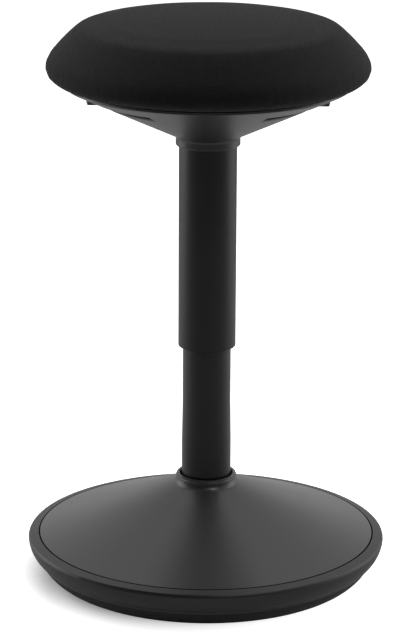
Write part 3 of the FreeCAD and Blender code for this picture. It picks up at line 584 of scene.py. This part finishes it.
def stapleNodes(wire):
    tree = bpy.data.node_groups.new("stapleRing", "GeometryNodeTree")
    tree.interface.new_socket(name="Geometry", in_out="OUTPUT", socket_type="NodeSocketGeometry")
    for name, kind in stapleSockets.items():
        tree.interface.new_socket(name=name, in_out="INPUT", socket_type="NodeSocket" + kind)
    start = Wire(tree)
    asked = start.make("NodeGroupInput")
    legPlace = (wire["length"] - wire["thickness"]) / 2
    legSize = (wire["width"], wire["thickness"], wire["leg"])
    parts = [((wire["width"], wire["length"], wire["thickness"]), (0, 0, 0)),
             (legSize, (0, legPlace, wire["leg"] / 2)),
             (legSize, (0, -legPlace, wire["leg"] / 2))]
    joined = start.make("GeometryNodeJoinGeometry")
    for size, offset in parts:
        bar = start.make("GeometryNodeMeshCube", {}, {"Size": size})
        moved = start.make("GeometryNodeTransform", {}, {"Geometry": bar, "Translation": offset})
        tree.links.new(moved.socket, joined.socket.node.inputs[0])
    place = start.make("ShaderNodeCombineXYZ", {}, {"X": asked.outlet("Radius"), "Z": asked.outlet("Height")})
    staple = start.make("GeometryNodeTransform", {}, {"Geometry": joined, "Translation": place})
    points = start.make("GeometryNodeMeshLine", {}, {"Count": asked.outlet("Count"), "Offset": (0, 0, 0)})
    step = start.make("ShaderNodeMath", {"operation": "DIVIDE"}, {0: 2 * math.pi, 1: asked.outlet("Count")})
    shift = start.make("FunctionNodeRandomValue", {"data_type": "FLOAT"}, {"Seed": asked.outlet("Seed")}, 1)
    turn = step * start.make("GeometryNodeInputIndex") + (shift - 0.5) * asked.outlet("Unevenness")
    turned = start.make("ShaderNodeCombineXYZ", {}, {"Z": turn})
    ring = start.make("GeometryNodeInstanceOnPoints", {},
                      {"Points": points, "Instance": staple, "Rotation": turned})
    whole = start.make("GeometryNodeRealizeInstances", {}, {"Geometry": ring})
    done = start.make("GeometryNodeSetMaterial", {},
                      {"Geometry": whole, "Material": asked.outlet("Material")})
    start.make("NodeGroupOutput", {}, {0: done})
    return tree


def makeStaples(setup):
    piece = addPiece("cover_staples", bpy.data.meshes.new("cover_staples"))
    ring = piece.modifiers.new("stapleRing", "NODES")
    ring.node_group = stapleNodes(stapleWire)
    values = dict(setup, Material=materials["zincSteel"])
    for item in ring.node_group.interface.items_tree:
        if item.in_out == "INPUT":
            ring[item.identifier] = values[item.name]
    applyModifiers(piece)
    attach(piece, "seat")
    print("staples made", len(piece.data.polygons))


makeStaples(staples)


# Studio: a pale floor, soft lamps at both sides and above, and one small lamp at the front right
studio = {
    "floorSize": 24.0,
    "floorColour": (0.86, 0.86, 0.86, 1),
    "floorGlow": 1.0,
    "shadowCentre": (-0.033, 0.042, 0.0),   # the camera's white floor glow fades out towards this point, painting the outline of the base's shadow
    "shadowEdge": (0.115, 0.190),
    "ambient": 0.045,
    "glossyFrom": 0.1,      # reflections find white only behind the stool
    "glossyTo": 0.7,
    "lamps": {
        "leftSoft": {"place": (-1.9, 0.55, 0.95), "aim": (0, 0, 0.35), "size": (1.2, 2.0), "power": 27},
        "rightSoft": {"place": (1.9, 0.55, 0.95), "aim": (0, 0, 0.35), "size": (1.2, 2.0), "power": 23},
        "topSoft": {"place": (0.0, 0.5, 2.7), "aim": (0, 0, 0.3), "size": (2.4, 2.0), "power": 30},
        "frontSmall": {"place": (0.9, -1.3, 2.2), "aim": (0, 0, 0.3), "size": (0.22, 0.22), "power": 16},
    },
}


def makeLamp(name, setup):
    data = bpy.data.lights.new(name, "AREA")
    data.shape = "RECTANGLE"
    data.size, data.size_y = setup["size"]
    data.energy = setup["power"]
    lamp = bpy.data.objects.new(name, data)
    bpy.context.collection.objects.link(lamp)
    look = (Vector(setup["aim"]) - Vector(setup["place"])).to_track_quat("-Z", "Y")
    lamp.matrix_world = Matrix.Translation(setup["place"]) @ look.to_matrix().to_4x4()


# The floor keeps the lamps' shadow. For the camera a white glow is added that fades out towards a fixed
# centre by the base, so the outline of the shadow there is painted, and past it the camera sees plain white
def makeFloor(setup):
    half = setup["floorSize"] / 2
    mesh = bpy.data.meshes.new("floor")
    corners = [(-half, -half, 0), (half, -half, 0), (half, half, 0), (-half, half, 0)]
    mesh.from_pydata(corners, [], [(0, 1, 2, 3)])
    material, start, place = newMaterial("paleFloor")
    reach = start.make("ShaderNodeVectorMath", {"operation": "DISTANCE"},
                       {0: place, 1: setup["shadowCentre"]}).outlet("Value")
    near, far = setup["shadowEdge"]
    # Glow for the camera, none near the fixed centre: this paints the outline of the base's shadow on the
    # floor
    clear = ramp(start, reach, near, far, 0.0, setup["floorGlow"])
    diffuse = start.make("ShaderNodeBsdfDiffuse", {}, {"Color": setup["floorColour"]})
    glow = start.make("ShaderNodeEmission", {}, {"Color": (1, 1, 1, 1), "Strength": clear})
    both = start.make("ShaderNodeAddShader", {}, {0: diffuse, 1: glow})
    seen = start.make("ShaderNodeLightPath").outlet("Is Camera Ray")
    shown = start.make("ShaderNodeMixShader", {}, {0: seen, 1: diffuse, 2: both})
    start.make("ShaderNodeOutputMaterial", {}, {"Surface": shown})
    mesh.materials.append(material)
    addPiece("floor", mesh)


# White for the camera and behind the stool in reflections, and a low light all round
def makeWorld(setup):
    world = bpy.data.worlds.new("studioWorld")
    scene.world = world
    world.use_nodes = True
    world.node_tree.nodes.clear()
    start = Wire(world.node_tree)
    path = start.make("ShaderNodeLightPath")
    place = start.make("ShaderNodeTexCoord").outlet("Generated")
    behind = start.make("ShaderNodeSeparateXYZ", {}, {0: place}).outlet("Y")
    sweep = ramp(start, behind, setup["glossyFrom"], setup["glossyTo"], 0.0, 1.0)
    direct = path.outlet("Is Camera Ray") + path.outlet("Is Transmission Ray")
    white = (direct + path.outlet("Is Glossy Ray") * sweep).calc("MINIMUM", 1.0)
    level = white * (1 - setup["ambient"]) + setup["ambient"]
    glow = start.make("ShaderNodeBackground", {}, {"Color": (1, 1, 1, 1), "Strength": level})
    start.make("ShaderNodeOutputWorld", {}, {"Surface": glow})


for lampName, lampSetup in studio["lamps"].items():
    makeLamp(lampName, lampSetup)
makeFloor(studio)
makeWorld(studio)
scene.view_settings.view_transform = "Standard"
print("studio ready")
